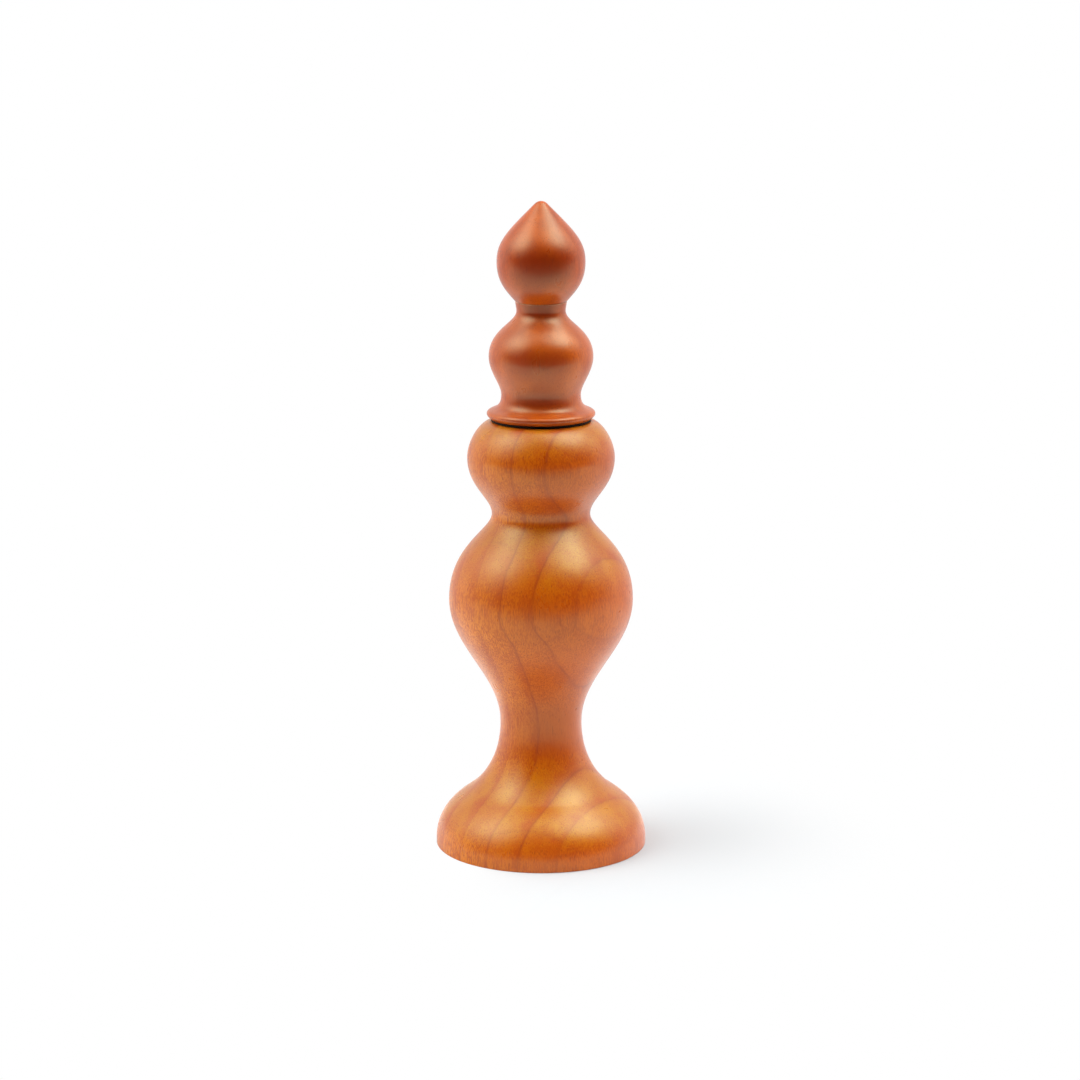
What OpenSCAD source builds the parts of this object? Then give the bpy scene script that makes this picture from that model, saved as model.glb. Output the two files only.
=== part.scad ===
// Turned wooden spice grinder with a conical grinding set in its foot.
// The head turns the square shaft. The finial screws on the shaft and sets the grind.
// Millimetres, +Z up, origin at the centre of the foot's underside.

/* [Body outline] */
// Diameter of the foot
foot_d = 84.8; // [78:0.1:90]
// Height of the upright edge round the foot
foot_edge_h = 2.0; // [1:0.1:4]
// Bevel on the foot's lower edge
foot_bevel = 0.2; // [0.1:0.1:0.8]
// Diameter where the foot's round turns into the hollow above it
instep_d = 55.9; // [52:0.1:60]
// Height of that turn
instep_z = 23.2; // [21:0.1:26]
// Diameter of the waist
waist_d = 32.7; // [31:0.1:38]
// Height of the waist
waist_z = 50.5; // [46:0.1:56]
// Diameter of the belly
belly_d = 73.5; // [68:0.1:78]
// Height of the belly
belly_z = 101.3; // [96:0.1:106]
// Diameter of the neck
neck_d = 39.1; // [37:0.1:42]
// Height of the neck
neck_z = 136.0; // [132:0.1:139]
// Diameter of the upper bulb
bulb_d = 58.5; // [54:0.1:62]
// Height of the upper bulb
bulb_z = 158.6; // [156:0.1:161]
// Diameter of the body's top edge
rim_d = 40.5; // [40.2:0.1:43]
// Height of the body
body_h = 173.4; // [171:0.1:178]

/* [Bores in the body] */
// Diameter of the storage bore
store_d = 22; // [20:0.5:24]
// Diameter of the socket for the head's spigot
socket_d = 27; // [26:0.5:29]
// Depth of that socket
socket_depth = 16; // [15:0.5:18]
// Diameter of the bore that holds the grinder housing
throat_d = 34; // [33:0.5:35]
// Diameter of the recess under the foot
recess_d = 46; // [45:0.5:50]
// Depth of that recess
recess_depth = 10; // [9.5:0.5:13]

/* [Slip ring] */
// Thickness of the slip ring between body and head
ring_t = 1.1; // [0.8:0.1:2]
// How far the slip ring stands back from the body's top edge
ring_inset = 0.55; // [0.3:0.05:1]

/* [Head outline, heights above the slip ring] */
// Diameter of the collar's underside
collar_foot_d = 40.2; // [39:0.1:41]
// Diameter of the collar
collar_d = 42.9; // [42:0.1:45]
// Height of the collar's widest line
collar_z = 1.8; // [1.4:0.1:2.4]
// Diameter where the collar's slope meets the cove
slope_d = 33.2; // [32.5:0.1:34.5]
// Height of that line
slope_z = 5.6; // [5:0.1:6.2]
// Diameter of the cove
cove_d = 31.45; // [30:0.05:32.3]
// Height of the cove
cove_z = 9.5; // [8.5:0.1:10.5]
// Diameter of the head's bulb
head_bulb_d = 41.2; // [38:0.1:44]
// Height of the head's bulb
head_bulb_z = 24.4; // [22:0.1:27]
// Diameter of the head's neck
head_neck_d = 19.35; // [18.4:0.05:21]
// Height of the head's neck
head_neck_z = 42.6; // [41:0.1:43.5]
// Diameter of the head's top
head_top_d = 20.1; // [19.5:0.1:22]
// Height of the head
head_h = 45.9; // [45:0.1:48]
// Diameter of the spigot under the head
spigot_d = 26.2; // [24:0.1:26.3]
// Length of the spigot
spigot_h = 14; // [11:0.5:14.4]
// Bevel on the spigot's end
spigot_bevel = 0.8; // [0.4:0.1:1.5]
// Diameter of the shaft's way through the head
head_bore_d = 8.6; // [8:0.1:9.4]

/* [Finial outline, heights above its seat] */
// Width of the seam under the finial
seam_gap = 0.3; // [0.2:0.05:0.5]
// Bevel on both edges of the seam
seam_bevel = 0.3; // [0.1:0.05:0.5]
// Diameter of the finial's foot
finial_foot_d = 20.7; // [20:0.1:23]
// Diameter of the onion
onion_d = 34.8; // [32:0.1:38]
// Height of the onion's widest line
onion_z = 15.7; // [14:0.1:18]
// Height of the finial
finial_h = 39.3; // [37:0.1:43]
// Radius of the rounded tip
tip_r = 3.4; // [2:0.1:3.8]

/* [Grinder housing] */
// Clearance round the housing and round the grinding ring
seat_clear = 0.1; // [0.05:0.01:0.2]
// Wall of the housing's tube
housing_wall = 1.5; // [1.2:0.1:1.8]
// Thickness of the housing's flange
flange_t = 1.6; // [1.2:0.1:2.4]
// Clearance between the flange and the recess
flange_clear = 0.3; // [0.2:0.1:0.6]
// Height of the chamber above the grinding ring
chamber_h = 7.2; // [6.5:0.1:9]
// How far the housing's lip stands in over the grinding ring
lip_w = 1.0; // [0.6:0.1:1.5]
// Number of arms of the spider
spider_arms = 3; // [2:1:4]
// Thickness of the spider
spider_t = 2.0; // [1.6:0.1:3]
// Width of a spider arm
arm_w = 3.0; // [2.4:0.1:3.6]
// Wall of the hub round its bush
hub_wall = 1.6; // [1.2:0.1:2]
// How far the hub reaches below the spider
hub_drop = 1.0; // [0.6:0.1:1.6]
// Space above the housing
housing_headroom = 0.4; // [0.2:0.1:1]

/* [Grinding ring and rotor] */
// Height of the grinding ring
burr_h = 10; // [9.6:0.1:10.6]
// Wall of the grinding ring at its mouth
burr_wall = 1.4; // [1.2:0.1:1.8]
// Height of the fine teeth
fine_h = 4; // [3.5:0.1:5]
// How much the ring's radius draws in over the fine teeth
fine_taper = 1.0; // [0.7:0.1:1.2]
// How much it draws in over the coarse teeth
coarse_taper = 1.5; // [1:0.1:2]
// Gap between ring and rotor at rest
burr_gap = 0.35; // [0.3:0.01:0.5]
// Height of the rotor
rotor_h = 9; // [8.5:0.1:9.2]
// Diameter of the rotor's top
rotor_top_d = 12; // [11.4:0.1:12.4]
// Height of the rotor's underside above the bridge
rotor_lift = 1.0; // [0.9:0.05:1.3]
// How far below the ring's coarse teeth the rotor's coarse teeth start
rotor_knee_drop = 0.8; // [0.7:0.1:1.2]
// Number of fine teeth
fine_teeth = 24; // [18:1:30]
// Number of coarse teeth
coarse_teeth = 8; // [6:1:10]
// Lean of the teeth
tooth_lean = 18; // [10:1:25]
// Depth of a fine tooth
fine_tooth = 0.6; // [0.4:0.1:0.7]
// Depth of a coarse tooth
coarse_tooth = 1.2; // [0.8:0.1:1.4]
// Width of the keys on the grinding ring
key_w = 3; // [2:0.5:4]
// Depth of the keys
key_t = 0.8; // [0.5:0.1:1]

/* [Shaft] */
// Width of the square shaft
shaft_w = 5; // [4.8:0.05:5.2]
// Clearance on each flat of the shaft
shaft_clear = 0.08; // [0.05:0.01:0.1]
// Radial clearance of the two washers round the shaft
washer_clear = 0.3; // [0.2:0.05:0.4]
// Clearance on each flat in the drive plate
drive_clear = 0.15; // [0.1:0.05:0.3]
// Radial clearance where a round turns in a round
running_clear = 0.05; // [0.03:0.01:0.08]
// Diameter of the shaft's lower journal
journal_d = 4.0; // [3.6:0.1:4.4]
// Length of the journal below the bridge
journal_end = 1.3; // [1:0.1:1.8]
// Diameter of the shaft's threaded end
thread_d = 5; // [4.6:0.1:5]
// How far below the head's top the square ends
square_drop = 4.4; // [3:0.1:6]
// Length of the thread above the head's top
thread_up = 11; // [9:0.5:12]
// Bevel on the ends of the shaft
shaft_bevel = 0.5; // [0.3:0.1:0.8]

/* [Small metal and nylon parts] */
// Thickness of the bridge
bridge_t = 1.5; // [1.2:0.1:2]
// Width of the bridge
bridge_w = 10; // [9.4:0.2:12]
// Wall of the bridge's bush
bush_wall = 1.0; // [0.8:0.1:1.2]
// Thickness of every bush's flange
bush_flange_t = 0.8; // [0.6:0.1:1]
// How far every bush's flange stands out
bush_flange_w = 1.2; // [0.8:0.1:1.4]
// Wall of the shaft's bush at the corners of the square
shaft_bush_wall = 1.2; // [1:0.1:1.4]
// Depth of the pocket under the rotor
pocket_depth = 1.5; // [1.2:0.1:2]
// Thickness of the clip under the rotor
clip_t = 0.8; // [0.6:0.1:1]
// Width of the clip's ring
clip_w = 2.0; // [1.6:0.1:2.2]
// Clearance round the clip in its pocket
clip_clear = 0.35; // [0.2:0.05:0.5]
// Depth of the clip's groove in the journal
clip_groove = 0.3; // [0.2:0.05:0.4]
// Thickness of the washer above the spring
spring_washer_t = 0.5; // [0.4:0.1:0.8]
// Thickness of the washer under the finial
thrust_washer_t = 0.8; // [0.6:0.1:1.2]
// Diameter of the washer under the finial
thrust_washer_d = 14; // [12:0.5:15]
// Thickness of the drive plate
drive_plate_t = 1.6; // [1.2:0.1:2]
// Diameter of the drive plate
drive_plate_d = 21; // [19.5:0.5:21.5]
// Diameter of the insert in the finial
insert_d = 8; // [7.4:0.1:9]
// Length of the insert
insert_h = 12; // [10:0.5:14]
// Number of knurls on the insert
insert_knurls = 18; // [14:1:24]
// Depth of a knurl
knurl = 0.3; // [0.2:0.05:0.4]
// Plain length at each end of the insert
insert_plain = 0.6; // [0.4:0.1:1.5]
// Depth left above the insert in the finial
insert_headroom = 2.5; // [1.5:0.5:4]

/* [Spring] */
// Diameter of the spring's wire
wire_d = 0.9; // [0.7:0.05:1]
// Diameter of the spring at the middle of its wire
spring_d = 9.8; // [9.4:0.1:10.2]
// Turns of the spring
spring_turns = 2.5; // [2:0.25:2.5]

/* [Screws] */
// Diameter of every screw's shank
screw_d = 2.4; // [2:0.1:2.6]
// Diameter of every screw's head
screw_head_d = 4.4; // [4:0.1:4.8]
// Height of every screw's head
screw_head_h = 1.2; // [1:0.1:1.4]
// How much a screw's head draws in to its outer face
screw_head_taper = 0.4; // [0.2:0.1:0.6]
// Radius of a screw's blunt tip
screw_tip_r = 0.3; // [0.2:0.1:0.5]
// How far a screw reaches into the wood
screw_grip = 8; // [6:0.5:10]
// Radial clearance of a screw in the wood
pilot_clear = 0.03; // [0.02:0.01:0.05]
// Radial clearance of a screw in metal or nylon
hole_clear = 0.15; // [0.1:0.05:0.25]
// Width of the cross in a screw's head
cross_w = 0.7; // [0.5:0.1:0.8]
// Depth of the cross
cross_depth = 0.6; // [0.4:0.1:0.8]
// Number of screws in the drive plate
drive_screws = 3; // [3:1:4]
// Radius of the circle that the drive plate's screws stand on
drive_screw_r = 7.5; // [7:0.1:7.8]

/* [Hidden] */

// Colours
body_wood = [0.78, 0.42, 0.14];
head_wood = [0.66, 0.30, 0.12];
nylon_black = [0.10, 0.09, 0.09];
nylon_pale = [0.86, 0.84, 0.78];
bright_steel = [0.72, 0.73, 0.74];
dark_steel = [0.42, 0.43, 0.45];
brass_yellow = [0.80, 0.64, 0.30];

// Facets of a full turn, and straight steps in each curved stretch of an outline
$fn = 96;
curve_steps = 14;
// Cutters run past the faces they cut by this much
past = 0.5;

// Screws in the bridge, and as many in the housing a quarter turn from them
ledge_screws = 2;
quarter_turn = 90;

// Direction of an outline where it runs straight up
upright = 90;
// Directions of the outlines at their other knots, from straight out
instep_turn = 140;
rim_turn = 165;
collar_foot_turn = 52;
slope_turn = 123;
seam_turn = 74;
onion_foot_turn = 49;
tip_turn = 135;
// How far an outline runs on in each knot's direction, before and after the knot,
// as a share of the straight line to the next knot
foot_ease = [0, 0.50];
instep_ease = [0.19, 0.235];
waist_ease = [0.47, 0.36];
belly_ease = [0.35, 0.55];
neck_ease = [0.19, 0.265];
bulb_ease = [0.465, 0.35];
rim_ease = [0.285, 0];
collar_foot_ease = [0, 0.35];
collar_ease = [0.40, 0.30];
slope_ease = [0.44, 0.275];
cove_ease = [0.48, 0.245];
head_bulb_ease = [0.37, 0.505];
head_neck_ease = [0.235, 0.165];
seam_ease = [0.30, 0];
onion_foot_ease = [0, 0.35];
onion_ease = [0.45, 0.295];
tip_ease = [0.545, 0];

// Heights of what is stacked on the body
head_seat_z = body_h + ring_t;
head_top_z = head_seat_z + head_h;
finial_seat_z = head_top_z + seam_gap;
spigot_end_z = head_seat_z - spigot_h;
socket_floor_z = body_h - socket_depth;

// Heights in the foot, from the recess's roof
ledge_z = recess_depth;
plate_z = ledge_z - flange_t;
bridge_z = plate_z - bridge_t;
burr_top_z = plate_z + burr_h;
spider_z = burr_top_z + chamber_h;
housing_top_z = spider_z + spider_t;
throat_top_z = housing_top_z + housing_headroom;
hub_z = spider_z - hub_drop;

// Radii in the foot, from the throat inwards
housing_r = throat_d / 2 - seat_clear;
housing_bore_r = housing_r - housing_wall;
burr_r = housing_bore_r - seat_clear;
mouth_r = burr_r - burr_wall;
knee_r = mouth_r - fine_taper;
feed_r = knee_r - coarse_taper;
flange_r = recess_d / 2 - flange_clear;
ledge_screw_r = (throat_d + recess_d) / 4;

// Rotor
rotor_z = plate_z + rotor_lift;
rotor_top_z = rotor_z + rotor_h;
rotor_knee_z = plate_z + fine_h - rotor_knee_drop;
fine_slope = fine_taper / fine_h;
rotor_r = mouth_r - fine_slope * rotor_lift - burr_gap;
rotor_knee_r = mouth_r - fine_slope * (fine_h - rotor_knee_drop) - burr_gap;
rotor_crest_r = rotor_top_d / 2 + coarse_tooth;
pocket_r = journal_d / 2 + clip_w + clip_clear;
clip_seat_z = rotor_z + pocket_depth;

// Shaft and its bushes
shaft_corner_r = shaft_w / sqrt(2);
shaft_z = bridge_z - journal_end;
square_top_z = head_top_z - square_drop;
shaft_top_z = head_top_z + thread_up;
bridge_bush_r = journal_d / 2 + running_clear + bush_wall;
shaft_bush_r = shaft_corner_r + shaft_bush_wall;
hub_bore_r = shaft_bush_r + running_clear;
hub_r = hub_bore_r + hub_wall;

// Slip ring, washers and drive plate
ring_r = rim_d / 2 - ring_inset;
ring_bore_r = socket_d / 2 + running_clear;
spring_top_z = hub_z - spring_washer_t;
washer_pocket_z = finial_seat_z - thrust_washer_t;
drive_plate_z = spigot_end_z - drive_plate_t;
insert_bore_r = thread_d / 2 + running_clear;

// Outlines: radius, height, direction, and ease before and after
body_knots = [
    [foot_d / 2, foot_edge_h, upright, foot_ease],
    [instep_d / 2, instep_z, instep_turn, instep_ease],
    [waist_d / 2, waist_z, upright, waist_ease],
    [belly_d / 2, belly_z, upright, belly_ease],
    [neck_d / 2, neck_z, upright, neck_ease],
    [bulb_d / 2, bulb_z, upright, bulb_ease],
    [rim_d / 2, body_h, rim_turn, rim_ease]
];
head_knots = [
    [collar_foot_d / 2, 0, collar_foot_turn, collar_foot_ease],
    [collar_d / 2, collar_z, upright, collar_ease],
    [slope_d / 2, slope_z, slope_turn, slope_ease],
    [cove_d / 2, cove_z, upright, cove_ease],
    [head_bulb_d / 2, head_bulb_z, upright, head_bulb_ease],
    [head_neck_d / 2, head_neck_z, upright, head_neck_ease],
    [head_top_d / 2, head_h - seam_bevel, seam_turn, seam_ease]
];
tip_lean = tip_turn - upright;
finial_knots = [
    [finial_foot_d / 2, seam_bevel, onion_foot_turn, onion_foot_ease],
    [onion_d / 2, onion_z, upright, onion_ease],
    [tip_r * cos(tip_lean), finial_h - tip_r * (1 - sin(tip_lean)), tip_turn, tip_ease]
];

function point(knot) = [knot[0], knot[1]];

function ahead(knot) = [cos(knot[2]), sin(knot[2])];

// Point at share t of a cubic curve with four control points
function curve(a, b, c, d, t) =
    (1 - t) ^ 3 * a + 3 * (1 - t) ^ 2 * t * b + 3 * (1 - t) * t ^ 2 * c + t ^ 3 * d;

// Points from one knot to the next, without the first
function stretch(from, to) =
    let (chord = norm(point(to) - point(from)))
    let (leave = point(from) + from[3][1] * chord * ahead(from))
    let (arrive = point(to) - to[3][0] * chord * ahead(to))
    [
        for (i = [1:curve_steps])
        curve(point(from), leave, arrive, point(to), i / curve_steps)
    ];

function outline(knots) = [
    point(knots[0]),
    for (i = [0:len(knots) - 2]) each stretch(knots[i], knots[i + 1])
];

function raised(points, z) = [for (p = points) [p[0], p[1] + z]];

// Points of the finial's rounded tip, from its outline to the axis
tip_points = [
    for (i = [1:curve_steps])
    let (turn = tip_lean + (upright - tip_lean) * i / curve_steps)
    [tip_r * cos(turn), finial_h - tip_r * (1 - sin(turn))]
];

module tube(outer_r, inner_r, z0, z1) {
    translate([0, 0, z0])
        difference() {
            cylinder(r = outer_r, h = z1 - z0);
            translate([0, 0, -past])
                cylinder(r = inner_r, h = z1 - z0 + 2 * past);
        }
}

module square_rod(width, z0, z1) {
    translate([-width / 2, -width / 2, z0])
        cube([width, width, z1 - z0]);
}

// Copies of its children round the axis
module round_axis(count, first = 0) {
    for (i = [0:count - 1])
        rotate(first + i * 360 / count)
            children();
}

// A screw with its head's underside at z = 0, pointing up
module screw(reach) {
    shank_r = screw_d / 2;
    difference() {
        union() {
            translate([0, 0, -screw_head_h])
                cylinder(r1 = screw_head_d / 2 - screw_head_taper, r2 = screw_head_d / 2, h = screw_head_h);
            cylinder(r = shank_r, h = reach - screw_d);
            translate([0, 0, reach - screw_d])
                cylinder(r1 = shank_r, r2 = screw_tip_r, h = screw_d);
        }
        for (turn = [0, quarter_turn])
            rotate(turn)
                translate([-shank_r, -cross_w / 2, -screw_head_h - past])
                    cube([screw_d, cross_w, cross_depth + past]);
    }
}

// The hole that a screw's shank makes in the wood above z = 0
module pilot_hole() {
    translate([0, 0, -past])
        cylinder(d = screw_d + 2 * pilot_clear, h = screw_grip + past + pilot_clear);
}

// The hole for a screw through a plate whose underside is at z = 0
module screw_hole(thickness) {
    translate([0, 0, -past])
        cylinder(d = screw_d + 2 * hole_clear, h = thickness + 2 * past);
}

// Leaning square bars round the axis, which cut teeth between two heights of a cone
module tooth_cutters(count, r0, z0, r1, z1, depth) {
    run = norm([r1 - r0, z1 - z0]);
    fall = atan2(r1 - r0, z1 - z0);
    round_axis(count)
        translate([(r0 + r1) / 2, 0, (z0 + z1) / 2])
            rotate([0, fall, 0])
                rotate([tooth_lean, 0, 0])
                    rotate(45)
                        cube([depth * sqrt(2), depth * sqrt(2), run], center = true);
}

module body() {
    color(body_wood)
        difference() {
            rotate_extrude()
                polygon(concat(
                    [[foot_d / 2 - foot_bevel, 0], [foot_d / 2, foot_bevel]],
                    outline(body_knots),
                    [
                        [socket_d / 2, body_h],
                        [socket_d / 2, socket_floor_z],
                        [store_d / 2, socket_floor_z],
                        [store_d / 2, throat_top_z],
                        [throat_d / 2, throat_top_z],
                        [throat_d / 2, ledge_z],
                        [recess_d / 2, ledge_z],
                        [recess_d / 2, 0]
                    ]
                ));
            for (first = [0, quarter_turn])
                round_axis(ledge_screws, first)
                    translate([ledge_screw_r, 0, ledge_z])
                        pilot_hole();
        }
}

// Flange, tube and a spider whose hub carries the shaft's bush
module grinder_housing() {
    color(nylon_black)
        difference() {
            union() {
                tube(flange_r, housing_bore_r, plate_z, ledge_z);
                tube(housing_r, housing_bore_r, plate_z, burr_top_z);
                tube(housing_r, housing_bore_r - lip_w, burr_top_z, spider_z);
                tube(housing_r, store_d / 2, spider_z, housing_top_z);
                tube(hub_r, hub_bore_r, hub_z, housing_top_z);
                difference() {
                    round_axis(spider_arms, quarter_turn)
                        translate([0, -arm_w / 2, spider_z])
                            cube([store_d / 2 + past, arm_w, spider_t]);
                    cylinder(r = hub_r - hub_wall / 2, h = housing_top_z + past);
                }
            }
            for (first = [0, quarter_turn])
                round_axis(ledge_screws, first)
                    translate([ledge_screw_r, 0, plate_z])
                        screw_hole(flange_t);
            translate([-burr_r - key_t - seat_clear, -key_w / 2 - seat_clear, plate_z - past])
                cube([2 * (burr_r + key_t + seat_clear), key_w + 2 * seat_clear, burr_h + past]);
        }
}

module housing_screws() {
    color(bright_steel)
        round_axis(ledge_screws, quarter_turn)
            translate([ledge_screw_r, 0, plate_z])
                screw(flange_t + screw_grip);
}

// Fixed ring with teeth inside, open wider below
module grinding_ring() {
    color(dark_steel)
        difference() {
            union() {
                translate([0, 0, plate_z])
                    cylinder(r = burr_r, h = burr_h);
                translate([-burr_r - key_t, -key_w / 2, plate_z])
                    cube([2 * (burr_r + key_t), key_w, burr_h]);
            }
            rotate_extrude()
                polygon([
                    [0, plate_z - past],
                    [mouth_r + fine_slope * past, plate_z - past],
                    [knee_r, plate_z + fine_h],
                    [feed_r, burr_top_z],
                    [feed_r, burr_top_z + past],
                    [0, burr_top_z + past]
                ]);
            tooth_cutters(fine_teeth, mouth_r, plate_z, knee_r, plate_z + fine_h, fine_tooth);
            tooth_cutters(coarse_teeth, knee_r, plate_z + fine_h, feed_r, burr_top_z, coarse_tooth);
        }
}

// Flat bar across the housing, which holds the ring up and carries the shaft's lower bush
module bridge() {
    color(bright_steel)
        difference() {
            intersection() {
                translate([0, 0, bridge_z])
                    cylinder(r = flange_r, h = bridge_t);
                translate([-flange_r, -bridge_w / 2, bridge_z - past])
                    cube([2 * flange_r, bridge_w, bridge_t + 2 * past]);
            }
            translate([0, 0, bridge_z - past])
                cylinder(r = bridge_bush_r, h = bridge_t + 2 * past);
            round_axis(ledge_screws)
                translate([ledge_screw_r, 0, bridge_z])
                    screw_hole(bridge_t);
        }
}

module bridge_bush() {
    color(brass_yellow)
        difference() {
            union() {
                translate([0, 0, bridge_z - bush_flange_t])
                    cylinder(r = bridge_bush_r + bush_flange_w, h = bush_flange_t);
                translate([0, 0, bridge_z])
                    cylinder(r = bridge_bush_r, h = bridge_t);
            }
            translate([0, 0, bridge_z - bush_flange_t - past])
                cylinder(r = journal_d / 2 + running_clear, h = bush_flange_t + bridge_t + 2 * past);
        }
}

module bridge_screws() {
    color(bright_steel)
        round_axis(ledge_screws)
            translate([ledge_screw_r, 0, bridge_z])
                screw(bridge_t + flange_t + screw_grip);
}

module spring_washer() {
    color(bright_steel)
        tube(hub_r, shaft_corner_r + washer_clear, spring_top_z, hub_z);
}

module slip_ring() {
    color(nylon_black)
        tube(ring_r, ring_bore_r, body_h, head_seat_z);
}

// Flanged bush that turns with the square shaft in the hub
module shaft_bush() {
    color(nylon_pale)
        difference() {
            union() {
                translate([0, 0, hub_z])
                    cylinder(r = shaft_bush_r, h = housing_top_z - hub_z);
                translate([0, 0, housing_top_z])
                    cylinder(r = shaft_bush_r + bush_flange_w, h = bush_flange_t);
            }
            square_rod(shaft_w + 2 * shaft_clear, hub_z - past, housing_top_z + bush_flange_t + past);
        }
}

module head() {
    color(head_wood)
        difference() {
            rotate_extrude()
                polygon(concat(
                    raised(outline(head_knots), head_seat_z),
                    [
                        [head_top_d / 2 - seam_bevel, head_top_z],
                        [thrust_washer_d / 2 + running_clear, head_top_z],
                        [thrust_washer_d / 2 + running_clear, washer_pocket_z],
                        [head_bore_d / 2, washer_pocket_z],
                        [head_bore_d / 2, spigot_end_z],
                        [spigot_d / 2 - spigot_bevel, spigot_end_z],
                        [spigot_d / 2, spigot_end_z + spigot_bevel],
                        [spigot_d / 2, head_seat_z]
                    ]
                ));
            round_axis(drive_screws)
                translate([drive_screw_r, 0, spigot_end_z])
                    pilot_hole();
        }
}

// Round plate with a square hole, by which the head turns the shaft
module drive_plate() {
    color(bright_steel)
        difference() {
            translate([0, 0, drive_plate_z])
                cylinder(d = drive_plate_d, h = drive_plate_t);
            square_rod(shaft_w + 2 * drive_clear, drive_plate_z - past, spigot_end_z + past);
            round_axis(drive_screws)
                translate([drive_screw_r, 0, drive_plate_z])
                    screw_hole(drive_plate_t);
        }
}

module drive_plate_screws() {
    color(bright_steel)
        round_axis(drive_screws)
            translate([drive_screw_r, 0, drive_plate_z])
                screw(drive_plate_t + screw_grip);
}

module thrust_washer() {
    color(bright_steel)
        tube(thrust_washer_d / 2, thread_d / 2 + washer_clear, washer_pocket_z, finial_seat_z);
}

// Square bar with a round journal below and a threaded end above
module drive_shaft() {
    color(bright_steel)
        union() {
            rotate_extrude()
                polygon([
                    [0, shaft_z],
                    [journal_d / 2 - shaft_bevel, shaft_z],
                    [journal_d / 2, shaft_z + shaft_bevel],
                    [journal_d / 2, clip_seat_z - clip_t],
                    [journal_d / 2 - clip_groove, clip_seat_z - clip_t],
                    [journal_d / 2 - clip_groove, clip_seat_z],
                    [0, clip_seat_z]
                ]);
            square_rod(shaft_w, clip_seat_z, square_top_z);
            rotate_extrude()
                polygon([
                    [0, square_top_z],
                    [thread_d / 2, square_top_z],
                    [thread_d / 2, shaft_top_z - shaft_bevel],
                    [thread_d / 2 - shaft_bevel, shaft_top_z],
                    [0, shaft_top_z]
                ]);
        }
}

// Toothed cone, wider below, with a pocket for its clip
module rotor() {
    color(dark_steel)
        difference() {
            rotate_extrude()
                polygon([
                    [0, rotor_z],
                    [rotor_r, rotor_z],
                    [rotor_knee_r, rotor_knee_z],
                    [rotor_top_d / 2, rotor_top_z],
                    [0, rotor_top_z]
                ]);
            tooth_cutters(fine_teeth, rotor_r, rotor_z, rotor_knee_r, rotor_knee_z, fine_tooth);
            tooth_cutters(coarse_teeth, rotor_knee_r, rotor_knee_z, rotor_crest_r, rotor_top_z, coarse_tooth);
            translate([0, 0, rotor_z - past])
                cylinder(r = pocket_r, h = pocket_depth + past);
            square_rod(shaft_w + 2 * shaft_clear, rotor_z, rotor_top_z + past);
        }
}

// Split clip in the journal's groove, which carries the rotor
module rotor_clip() {
    grip_r = journal_d / 2 - clip_groove + pilot_clear;
    color(bright_steel)
        difference() {
            tube(journal_d / 2 + clip_w, grip_r, clip_seat_z - clip_t, clip_seat_z);
            translate([0, -grip_r, clip_seat_z - clip_t - past])
                cube([journal_d / 2 + clip_w + past, 2 * grip_r, clip_t + 2 * past]);
        }
}

// Open coil round the shaft: a tube of six sides, eight rings a turn, straight at each end
spring_sides = 6;
spring_turn_rings = 8;
spring_rings = spring_turns * spring_turn_rings;
spring_low_z = rotor_top_z + wire_d / 2 + running_clear;
spring_rise = spring_top_z - rotor_top_z - wire_d - 2 * running_clear;
spring_r = spring_d / 2;

function coil_point(i) =
    let (turn = i * 360 / spring_turn_rings)
    [spring_r * cos(turn), spring_r * sin(turn), spring_low_z + spring_rise * i / spring_rings];

// The ends run on for one wire's diameter, level and square to the radius
function coil_end(i, way) =
    let (turn = i * 360 / spring_turn_rings)
    coil_point(i) + way * wire_d * [-sin(turn), cos(turn), 0];

coil_line = [
    coil_end(0, -1),
    for (i = [0:spring_rings]) coil_point(i),
    coil_end(spring_rings, 1)
];
coil_turns = [
    0,
    for (i = [0:spring_rings]) i * 360 / spring_turn_rings,
    spring_rings * 360 / spring_turn_rings
];

function coil_ring(i) =
    let (out = [cos(coil_turns[i]), sin(coil_turns[i]), 0])
    [
        for (k = [0:spring_sides - 1])
        let (a = k * 360 / spring_sides)
        coil_line[i] + wire_d / 2 * (cos(a) * out + sin(a) * [0, 0, 1])
    ];

coil_gap = min([
    for (i = [0:len(coil_line) - 1])
    for (j = [i + spring_turn_rings / 2:1:len(coil_line) - 1])
    norm(coil_line[j] - coil_line[i])
]) - wire_d;
echo(least_gap_in_spring = coil_gap);

module spring() {
    count = len(coil_line);
    last = (count - 1) * spring_sides;
    color(bright_steel)
        polyhedron(
            points = [for (i = [0:count - 1]) each coil_ring(i)],
            faces = concat(
                [[for (k = [0:spring_sides - 1]) k]],
                [
                    for (i = [0:count - 2])
                    for (k = [0:spring_sides - 1])
                    let (a = i * spring_sides + k)
                    let (b = i * spring_sides + (k + 1) % spring_sides)
                    each [[a, a + spring_sides, b], [b, a + spring_sides, b + spring_sides]]
                ],
                [[for (k = [spring_sides - 1:-1:0]) last + k]]
            )
        );
}

module finial() {
    color(head_wood)
        rotate_extrude()
            polygon(raised(concat(
                [[finial_foot_d / 2 - seam_bevel, 0]],
                outline(finial_knots),
                tip_points,
                [
                    [0, insert_h + insert_headroom],
                    [insert_d / 2 + pilot_clear, insert_h + insert_headroom],
                    [insert_d / 2 + pilot_clear, 0]
                ]
            ), finial_seat_z));
}

// Knurled brass sleeve that takes the shaft's thread
module finial_insert() {
    color(brass_yellow)
        difference() {
            tube(insert_d / 2, insert_bore_r, finial_seat_z, finial_seat_z + insert_h);
            round_axis(insert_knurls)
                translate([insert_d / 2, 0, finial_seat_z + insert_h / 2])
                    rotate(45)
                        cube([knurl * sqrt(2), knurl * sqrt(2), insert_h - 2 * insert_plain], center = true);
        }
}

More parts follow.
